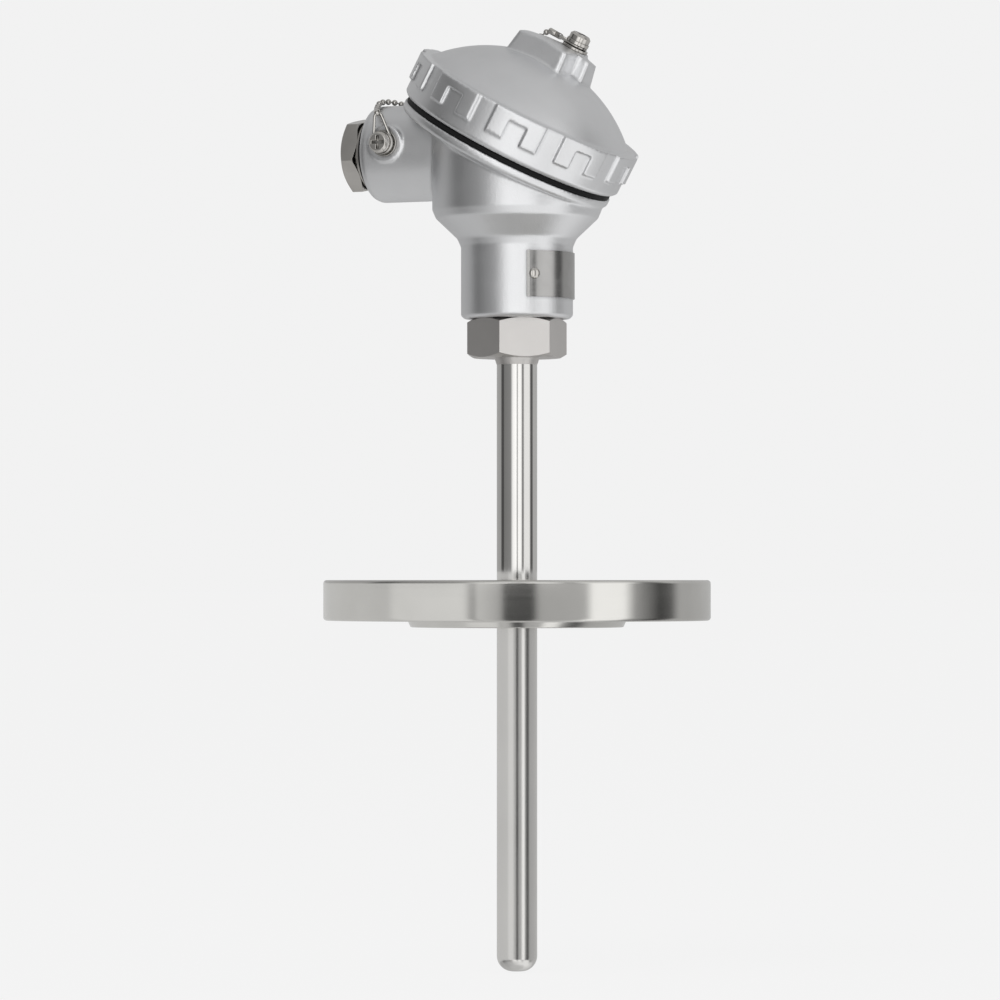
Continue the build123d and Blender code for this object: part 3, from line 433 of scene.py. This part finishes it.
def makeFinish(name, values):
    material = bpy.data.materials.new(name)
    material.use_nodes = True
    tree = material.node_tree
    shader = tree.nodes["Principled BSDF"]
    place = node(tree, "ShaderNodeTexCoord").outputs["Object"]
    marks = place
    if name == "turned":     # rings round Z on the faces, lines round the rim
        split = node(tree, "ShaderNodeSeparateXYZ")
        tree.links.new(place, split.inputs[0])
        x, y, z = split.outputs
        squares = [math(tree, "MULTIPLY", side, side) for side in (x, y)]
        radius = math(tree, "SQRT", math(tree, "ADD", *squares))
        turn = math(tree, "MULTIPLY", math(tree, "ARCTAN2", y, x), finishDetail["ringTurn"])
        joined = node(tree, "ShaderNodeCombineXYZ")
        for socket, source in zip(joined.inputs, (radius, turn, z)):
            tree.links.new(source, socket)
        marks = joined.outputs[0]
    elif name in stretchOf:
        mapping = node(tree, "ShaderNodeMapping")
        tree.links.new(place, mapping.inputs["Vector"])
        mapping.inputs["Scale"].default_value = stretchOf[name]
        marks = mapping.outputs[0]
    cloud = noise(tree, place, values["cloud"], finishDetail["noiseDetail"])
    grain = noise(tree, marks, values["grain"], finishDetail["noiseDetail"])
    dark = tuple(c * (1 - values["tint"]) for c in values["color"])
    light = tuple(min(1.0, c * (1 + values["tint"])) for c in values["color"])
    color = ramp(tree, cloud, list(zip(finishDetail["tintStops"], (dark, light))))
    if "paintedShadeReach" in values:     # painted shade: an ambient-occlusion node darkens the colour in crevices, where shade would fall
        near = node(tree, "ShaderNodeAmbientOcclusion", samples=finishDetail["paintedShadeSamples"])
        near.inputs["Distance"].default_value = values["paintedShadeReach"]
        shadeFactor = mapRange(tree, near.outputs["AO"], finishDetail["paintedShadeSpan"],
                        (values["paintedShadeTone"], 1.0))
        color = scaled(tree, color, shadeFactor)
    relief = math(tree, "MULTIPLY", grain, values["grainDepth"])     # height in metres
    if "pitsEvery" in values:
        pits = pitsHeight(tree, place, values)
        relief = math(tree, "SUBTRACT", relief, math(tree, "MULTIPLY", pits, values["pitDepth"]))
        # painted shade: colour darkened inside the pits, on top of their real bump dent
        shade = math(tree, "MULTIPLY", pits, values["pitPaintedShade"])
        color = scaled(tree, color, math(tree, "SUBTRACT", 1.0, shade))
    tree.links.new(color, shader.inputs["Base Color"])
    cloudPart = math(tree, "MULTIPLY", cloud, finishDetail["cloudShare"])
    grainPart = math(tree, "MULTIPLY", grain, 1 - finishDetail["cloudShare"])
    pattern = math(tree, "ADD", cloudPart, grainPart)
    roughness = mapRange(tree, pattern, finishDetail["patternSpan"], values["roughness"])
    if "below" in values:     # duller below a height, where the tube is less finely polished
        low, high = values["belowRoughness"]
        height = node(tree, "ShaderNodeSeparateXYZ")
        tree.links.new(place, height.inputs[0])
        lower = math(tree, "LESS_THAN", height.outputs[2], values["below"])
        added = math(tree, "MULTIPLY", lower, (low + high - sum(values["roughness"])) / 2)
        roughness = math(tree, "ADD", roughness, added)
    tree.links.new(roughness, shader.inputs["Roughness"])
    if "stretch" in values:     # turning marks spread a reflection across themselves
        around = node(tree, "ShaderNodeTangent", direction_type="RADIAL", axis="Z")
        tree.links.new(around.outputs[0], shader.inputs["Tangent"])
        shader.inputs["Anisotropic"].default_value = values["stretch"]
        shader.inputs["Anisotropic Rotation"].default_value = values["stretchTurn"]
    shader.inputs["Metallic"].default_value = values["metallic"]
    shader.inputs["Specular IOR Level"].default_value = values.get("specular", 0.5)
    bump = node(tree, "ShaderNodeBump")
    bump.inputs["Strength"].default_value = 1.0
    bump.inputs["Distance"].default_value = 1.0
    tree.links.new(relief, bump.inputs["Height"])
    tree.links.new(bump.outputs["Normal"], shader.inputs["Normal"])
    return material


materials = {name: makeFinish(name, values) for name, values in finishes.items()}
print("finishes made,", len(materials))


# Meshes made from the frame's nodes
meshSizes = {
    "merge": 1e-6,
    "ringSlack": 1e-7,
    "flat": radians(0.6),       # faces nearer than this in angle become one
    "sharp": radians(32),
    "rounded": radians(34),
    "roundSegments": 2,
}


def mergedCopy(nodeName):
    made = bmesh.new()
    made.from_mesh(frame["nodes"][nodeName].data)
    bmesh.ops.remove_doubles(made, verts=made.verts, dist=meshSizes["merge"])
    bmesh.ops.recalc_face_normals(made, faces=made.faces)
    return made


def newPiece(name, made, material):
    mesh = bpy.data.meshes.new(name)
    made.to_mesh(mesh)
    made.free()
    mesh.materials.append(material)
    for face in mesh.polygons:
        face.use_smooth = True
    mesh.set_sharp_from_angle(angle=meshSizes["sharp"])
    return addObject(name, mesh)


def settle(piece):
    # the modifiers' result becomes the piece's plain mesh
    graph = bpy.context.evaluated_depsgraph_get()
    mesh = bpy.data.meshes.new_from_object(piece.evaluated_get(graph))
    piece.modifiers.clear()
    piece.data = mesh


def standFor(piece, nodeName, blended=False):
    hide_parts(nodeName)
    if not blended:
        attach(piece, frame["nodes"][nodeName]["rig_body"])


# How the cap sits on the head: its seat's middle and its tilt away from the conduit boss
capSeat = (-0.0029, 0, 0.1423)
capTilt = radians(29)
bossHeight = 0.142

# Right-hand threads cut into the plain CAD cylinders, in metres
threads = {
    "head_body": {"origin": capSeat, "axis": (sin(capTilt), 0, cos(capTilt)),
                  "span": (0.0022, 0.0080), "radius": (0.0300, 0.0313), "pitch": 0.002,
                  "depth": 0.0005, "rings": 0},
    "gland_nut": {"origin": (0, 0, bossHeight), "axis": (-1, 0, 0), "span": (0.0350, 0.0462),
                  "radius": (0.0094, 0.0102), "pitch": 0.0015, "depth": 0.00045, "rings": 120},
}


def cutThread(made, values):
    # rings of vertices are added where there are none, then each vertex moves in along the screw
    origin, axis = Vector(values["origin"]), Vector(values["axis"])
    (low, high), pitch = values["span"], values["pitch"]
    near, far = values["radius"]
    for i in range(values["rings"]):
        at = origin + axis * (low + (high - low) * i / (values["rings"] - 1))
        wall = [face for face in made.faces
                if near < (face.calc_center_median() - origin).cross(axis).length < far]
        edges = {edge for face in wall for edge in face.edges}
        verts = {vert for face in wall for vert in face.verts}
        bmesh.ops.bisect_plane(made, geom=[*verts, *edges, *wall], dist=meshSizes["ringSlack"],
                               plane_co=at, plane_no=axis)
    first = axis.orthogonal().normalized()
    second = axis.cross(first)
    for vert in made.verts:
        away = vert.co - origin
        length = away.dot(axis)
        across = away.dot(first) * first + away.dot(second) * second
        if low < length < high and near < across.length < far:
            turn = atan2(across.dot(second), across.dot(first)) / (2 * pi)
            groove = 0.5 - 0.5 * cos(2 * pi * (length / pitch - turn))
            ease = min(1.0, 2 * (length - low) / pitch, 2 * (high - length) / pitch)
            vert.co -= across.normalized() * values["depth"] * groove * ease


def roundedPiece(nodeName, material, edge):
    made = mergedCopy(nodeName)
    bmesh.ops.dissolve_limit(made, angle_limit=meshSizes["flat"],
                             verts=made.verts, edges=made.edges)
    if nodeName in threads:
        cutThread(made, threads[nodeName])
    piece = newPiece(nodeName + "Finish", made, material)
    bevel = piece.modifiers.new("edges", "BEVEL")
    bevel.width, bevel.segments = edge * mm, meshSizes["roundSegments"]
    bevel.limit_method, bevel.angle_limit = "ANGLE", meshSizes["rounded"]
    weigh = piece.modifiers.new("normals", "WEIGHTED_NORMAL")
    weigh.keep_sharp = True
    settle(piece)
    standFor(piece, nodeName)


# Castings: the voxel remesh gives them the small fillets of a casting
castSizes = {
    "head_body": {"voxel": 0.42, "smooth": 2, "relax": 0.5},
    "cap": {"voxel": 0.38, "smooth": 2, "relax": 0.5},
}


def castPiece(nodeName, sizes):
    piece = newPiece(nodeName + "Casting", mergedCopy(nodeName), materials["castPaint"])
    remesh = piece.modifiers.new("skin", "REMESH")
    remesh.mode, remesh.voxel_size, remesh.use_smooth_shade = "VOXEL", sizes["voxel"] * mm, True
    relax = piece.modifiers.new("relax", "SMOOTH")
    relax.factor, relax.iterations = sizes["relax"], sizes["smooth"]
    settle(piece)
    piece.data.materials.clear()
    piece.data.materials.append(materials["castPaint"])
    if nodeName in threads:
        made = bmesh.new()
        made.from_mesh(piece.data)
        cutThread(made, threads[nodeName])
        made.to_mesh(piece.data)
        made.free()
    for face in piece.data.polygons:
        face.use_smooth = True
    standFor(piece, nodeName)
    print(nodeName, "has", len(piece.data.polygons), "faces")


for castName, castValues in castSizes.items():
    castPiece(castName, castValues)
print("castings made")


# Turned, milled and moulded pieces: finish and edge rounding in millimetres
pieceFinish = {
    "flange": ("turned", 0.35),
    "protection_tube": ("polished", 0.10),
    "hex_adaptor": ("satin", 0.22),
    "nameplate": ("plate", 0.08),
    "cap_gasket": ("rubber", 0.25),
    "cap_chain_washer": ("nickel", 0.10),
    "cap_chain_spring_washer": ("nickel", 0.10),
    "cap_chain_screw": ("nickel", 0.15),
    "cap_chain_link": ("nickel", 0.02),
    "cap_chain_coupler": ("nickel", 0.05),
    "body_chain_coupler": ("nickel", 0.05),
    "body_chain_link": ("nickel", 0.02),
    "body_chain_washer": ("nickel", 0.10),
    "body_chain_spring_washer": ("nickel", 0.10),
    "body_chain_screw": ("nickel", 0.15),
    "gland_nut": ("nickel", 0.22),
    "gland_gasket": ("rubber", 0.20),
    "gland_washer": ("nickel", 0.10),
    "gland_grommet": ("rubber", 0.30),
    "insert_base_plate": ("plate", 0.15),
    "insert_sheath": ("polished", 0.05),
    "rtd_element": ("ceramic", 0.05),
    "lead_wires": ("tinned", 0.01),
    "terminal_block": ("ceramic", 0.25),
    "terminal_clamps": ("brass", 0.15),
    "terminal_screws": ("nickel", 0.10),
    "insert_mounting_screws": ("nickel", 0.15),
}
for pieceName, (finishName, edgeWidth) in pieceFinish.items():
    roundedPiece(pieceName, materials[finishName], edgeWidth)
print("machined pieces made,", len(pieceFinish))


# Geometry Nodes helpers
def newTree(name, inputs):
    tree = bpy.data.node_groups.new(name, "GeometryNodeTree")
    tree.interface.new_socket("Geometry", in_out="INPUT", socket_type="NodeSocketGeometry")
    tree.interface.new_socket("Geometry", in_out="OUTPUT", socket_type="NodeSocketGeometry")
    for label, kind in inputs:
        tree.interface.new_socket(label, in_out="INPUT", socket_type=kind)
    return tree, tree.nodes.new("NodeGroupInput"), tree.nodes.new("NodeGroupOutput")


def runTree(owner, tree, values, name):
    # gives the tree's result as a plain mesh piece of its own
    modifier = owner.modifiers.new("build", "NODES")
    modifier.node_group = tree
    for item in tree.interface.items_tree:
        if item.in_out == "INPUT" and item.name in values:
            modifier[item.identifier] = values[item.name]
    graph = bpy.context.evaluated_depsgraph_get()
    mesh = bpy.data.meshes.new_from_object(owner.evaluated_get(graph))
    owner.modifiers.clear()
    bpy.data.objects.remove(owner)
    for face in mesh.polygons:
        face.use_smooth = True
    return addObject(name, mesh)


def wireAlong(tree, curve, radius, sides):
    link = tree.links.new
    section = tree.nodes.new("GeometryNodeCurvePrimitiveCircle")
    section.inputs["Resolution"].default_value = sides
    link(radius, section.inputs["Radius"])
    wire = tree.nodes.new("GeometryNodeCurveToMesh")
    link(curve, wire.inputs["Curve"])
    link(section.outputs[0], wire.inputs["Profile Curve"])
    wire.inputs["Fill Caps"].default_value = True
    return wire.outputs[0]


def realized(tree, source):
    made = tree.nodes.new("GeometryNodeRealizeInstances")
    tree.links.new(source, made.inputs[0])
    return made.outputs[0]


def coated(tree, source, given, result):
    # every tree ends in real geometry with its material
    coat = tree.nodes.new("GeometryNodeSetMaterial")
    tree.links.new(realized(tree, source), coat.inputs["Geometry"])
    tree.links.new(given.outputs["Material"], coat.inputs["Material"])
    tree.links.new(coat.outputs[0], result.inputs[0])


def pathObject(name, points):
    data = bpy.data.curves.new(name, "CURVE")
    data.dimensions = "3D"
    data.resolution_u = chainSizes["curveSteps"]
    spline = data.splines.new("BEZIER")
    spline.bezier_points.add(len(points) - 1)
    for knot, point in zip(spline.bezier_points, points):
        knot.co = point
        knot.handle_left_type = knot.handle_right_type = "AUTO"
    return addObject(name, data)


# Ball chain: beads strung on wires along its route, from the cap's coupler to the boss
chainSizes = {
    "beadRadius": 0.9 * mm,
    "wireRadius": 0.25 * mm,
    "beads": 43,
    "leadIn": 1.1 * mm,
    "beadSegments": 20,
    "beadRings": 12,
    "wireSides": 10,
    "curveSteps": 16,
    "capEnd": (0.0085, 0.0044, 0.1776),     # where the couplers hold the wire
    "bossEnd": (-0.0403, -0.0126, 0.1541),
    "overCap": [        # millimetres from the seat, in the tilted cap's directions
        (-10.4, 5.6, 31.6), (-13.5, 10.0, 28.6), (-16.0, 16.5, 25.3), (-19.5, 24.0, 19.6),
        (-22.4, 28.8, 16.4), (-23.1, 29.3, 11.0), (-23.2, 29.4, 3.0), (-26.2, 24.5, -3.4),
    ],
    "overBoss": [       # millimetres in from the boss's end, degrees from its top line
        (12.6, 42), (9.4, 29), (6.8, 16), (4.6, 3), (3.2, -9), (3.0, -20), (3.7, -30),
    ],
    "bossReach": 46.0 * mm,
    "wrapRadius": 15.75 * mm,
    "digits": 4,        # the route is kept to a tenth of a millimetre
}


def routeOf(sizes):
    tiltSin, tiltCos = sin(capTilt), cos(capTilt)
    route = [(capSeat[0] + (x * tiltCos + z * tiltSin) * mm, y * mm,
              capSeat[2] + (z * tiltCos - x * tiltSin) * mm) for x, y, z in sizes["overCap"]]
    for inset, angle in sizes["overBoss"]:
        across = sizes["wrapRadius"] * sin(radians(angle))
        up = sizes["wrapRadius"] * cos(radians(angle))
        route.append((inset * mm - sizes["bossReach"], across, bossHeight + up))
    rounded = [tuple(round(c, sizes["digits"]) for c in point) for point in route]
    return [sizes["capEnd"], *rounded, sizes["bossEnd"]]


chainSizes["route"] = routeOf(chainSizes)


def chainTree():
    tree, given, result = newTree("beadsOnWire", [
        ("Bead radius", "NodeSocketFloat"), ("Wire radius", "NodeSocketFloat"),
        ("Beads", "NodeSocketInt"), ("Lead in", "NodeSocketFloat"),
        ("Material", "NodeSocketMaterial"),
    ])
    link = tree.links.new
    length = tree.nodes.new("GeometryNodeCurveLength")
    link(given.outputs["Geometry"], length.inputs[0])
    last = node(tree, "ShaderNodeMath", operation="SUBTRACT")
    link(length.outputs[0], last.inputs[0])
    link(given.outputs["Lead in"], last.inputs[1])
    trim = node(tree, "GeometryNodeTrimCurve", mode="LENGTH")
    link(given.outputs["Geometry"], trim.inputs["Curve"])
    starts = [s for s in trim.inputs if s.name == "Start"]
    ends = [s for s in trim.inputs if s.name == "End"]
    link(given.outputs["Lead in"], starts[-1])
    link(last.outputs[0], ends[-1])
    strung = node(tree, "GeometryNodeResampleCurve", mode="COUNT")
    link(trim.outputs[0], strung.inputs["Curve"])
    link(given.outputs["Beads"], strung.inputs["Count"])
    ball = tree.nodes.new("GeometryNodeMeshUVSphere")
    ball.inputs["Segments"].default_value = chainSizes["beadSegments"]
    ball.inputs["Rings"].default_value = chainSizes["beadRings"]
    link(given.outputs["Bead radius"], ball.inputs["Radius"])
    placed = tree.nodes.new("GeometryNodeInstanceOnPoints")
    link(strung.outputs[0], placed.inputs["Points"])
    link(ball.outputs["Mesh"], placed.inputs["Instance"])
    wire = wireAlong(tree, given.outputs["Geometry"], given.outputs["Wire radius"],
                     chainSizes["wireSides"])
    joined = tree.nodes.new("GeometryNodeJoinGeometry")
    link(placed.outputs[0], joined.inputs[0])
    link(wire, joined.inputs[0])
    coated(tree, joined.outputs[0], given, result)
    return tree


chain = runTree(pathObject("chainRoute", chainSizes["route"]), chainTree(), {
    "Bead radius": chainSizes["beadRadius"],
    "Wire radius": chainSizes["wireRadius"],
    "Beads": chainSizes["beads"],
    "Lead in": chainSizes["leadIn"],
    "Material": materials["nickel"],
}, "ballChain")
standFor(chain, "bead_chain", blended=True)
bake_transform(chain)
print("ball chain made,", len(chain.data.polygons), "faces")


# Coil springs under the insert's screws
springSizes = {
    "radius": 2.9 * mm,
    "wireRadius": 0.4 * mm,
    "turns": 6.0,
    "clear": 0.02 * mm,
    "steps": 40,
    "wireSides": 12,
}


def springTree():
    tree, given, result = newTree("coil", [
        ("Radius", "NodeSocketFloat"), ("Height", "NodeSocketFloat"), ("Turns", "NodeSocketFloat"),
        ("Wire radius", "NodeSocketFloat"), ("Steps", "NodeSocketInt"),
        ("Material", "NodeSocketMaterial"),
    ])
    link = tree.links.new
    spiral = tree.nodes.new("GeometryNodeCurveSpiral")
    link(given.outputs["Steps"], spiral.inputs["Resolution"])
    link(given.outputs["Turns"], spiral.inputs["Rotations"])
    link(given.outputs["Radius"], spiral.inputs["Start Radius"])
    link(given.outputs["Radius"], spiral.inputs["End Radius"])
    link(given.outputs["Height"], spiral.inputs["Height"])
    placed = tree.nodes.new("GeometryNodeInstanceOnPoints")
    link(given.outputs["Geometry"], placed.inputs["Points"])
    link(spiral.outputs[0], placed.inputs["Instance"])
    wire = wireAlong(tree, realized(tree, placed.outputs[0]), given.outputs["Wire radius"],
                     springSizes["wireSides"])
    coated(tree, wire, given, result)
    return tree


def pointsObject(name, points):
    mesh = bpy.data.meshes.new(name)
    mesh.from_pydata(points, [], [])
    return addObject(name, mesh)


springLow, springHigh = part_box("insert_springs")
springFoot = springLow.z + springSizes["wireRadius"] + springSizes["clear"]
springTop = springHigh.z - springSizes["wireRadius"] - springSizes["clear"]
springReach = springHigh.y - springSizes["radius"] - springSizes["wireRadius"]
springs = runTree(
    pointsObject("springFeet", [(0, side * springReach, springFoot) for side in (1, -1)]),
    springTree(), {
        "Radius": springSizes["radius"],
        "Height": springTop - springFoot,
        "Turns": springSizes["turns"],
        "Wire radius": springSizes["wireRadius"],
        "Steps": springSizes["steps"],
        "Material": materials["nickel"],
    }, "coilSprings")
standFor(springs, "insert_springs")
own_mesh(springs)
print("springs made")


# Round-head rivets of the nameplate
rivetSizes = {
    "headRadius": 1.65 * mm,
    "headHeight": 0.8 * mm,
    "angle": radians(47.8),
    "sides": 28,
    "steps": 7,
}


def domeMesh(name, radius, height, sides, steps):
    # a flat-based dome along +Z
    made = bmesh.new()
    rings = []
    for step in range(steps):
        lean = pi / 2 * step / steps
        ring = [made.verts.new((radius * cos(lean) * cos(2 * pi * i / sides),
                                radius * cos(lean) * sin(2 * pi * i / sides),
                                height * sin(lean))) for i in range(sides)]
        rings.append(ring)
    top = made.verts.new((0, 0, height))
    made.faces.new(list(reversed(rings[0])))
    for low, high in zip(rings[:-1], rings[1:]):
        for i in range(sides):
            made.faces.new((low[i], low[(i + 1) % sides], high[(i + 1) % sides], high[i]))
    for i in range(sides):
        made.faces.new((rings[-1][i], rings[-1][(i + 1) % sides], top))
    mesh = bpy.data.meshes.new(name)
    made.to_mesh(mesh)
    made.free()
    return addObject(name, mesh)


def rivetTree():
    tree, given, result = newTree("rivetsOnPlate", [
        ("Rivet", "NodeSocketObject"), ("Axis", "NodeSocketVector"),
        ("Material", "NodeSocketMaterial"),
    ])
    link = tree.links.new
    shape = tree.nodes.new("GeometryNodeObjectInfo")
    link(given.outputs["Rivet"], shape.inputs["Object"])
    place = tree.nodes.new("GeometryNodeInputPosition")
    away = node(tree, "ShaderNodeVectorMath", operation="MULTIPLY")
    link(place.outputs[0], away.inputs[0])
    link(given.outputs["Axis"], away.inputs[1])
    aim = node(tree, "FunctionNodeAlignRotationToVector", axis="Z")
    link(away.outputs[0], aim.inputs["Vector"])
    placed = tree.nodes.new("GeometryNodeInstanceOnPoints")
    link(given.outputs["Geometry"], placed.inputs["Points"])
    link(shape.outputs["Geometry"], placed.inputs["Instance"])
    link(aim.outputs[0], placed.inputs["Rotation"])
    coated(tree, placed.outputs[0], given, result)
    return tree


plateLow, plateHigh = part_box("nameplate")
plateRadius = plateHigh.x
rivetHeight = (plateLow.z + plateHigh.z) / 2
dome = domeMesh("rivetDome", rivetSizes["headRadius"], rivetSizes["headHeight"],
                rivetSizes["sides"], rivetSizes["steps"])
rivetPoints = [(plateRadius * cos(a), plateRadius * sin(a), rivetHeight)
               for a in (rivetSizes["angle"], -rivetSizes["angle"])]
rivets = runTree(pointsObject("rivetPlaces", rivetPoints), rivetTree(),
                 {"Rivet": dome, "Axis": (1, 1, 0), "Material": materials["nickel"]}, "plateRivets")
bpy.data.objects.remove(dome)
standFor(rivets, "nameplate_rivets")
print("rivets made")
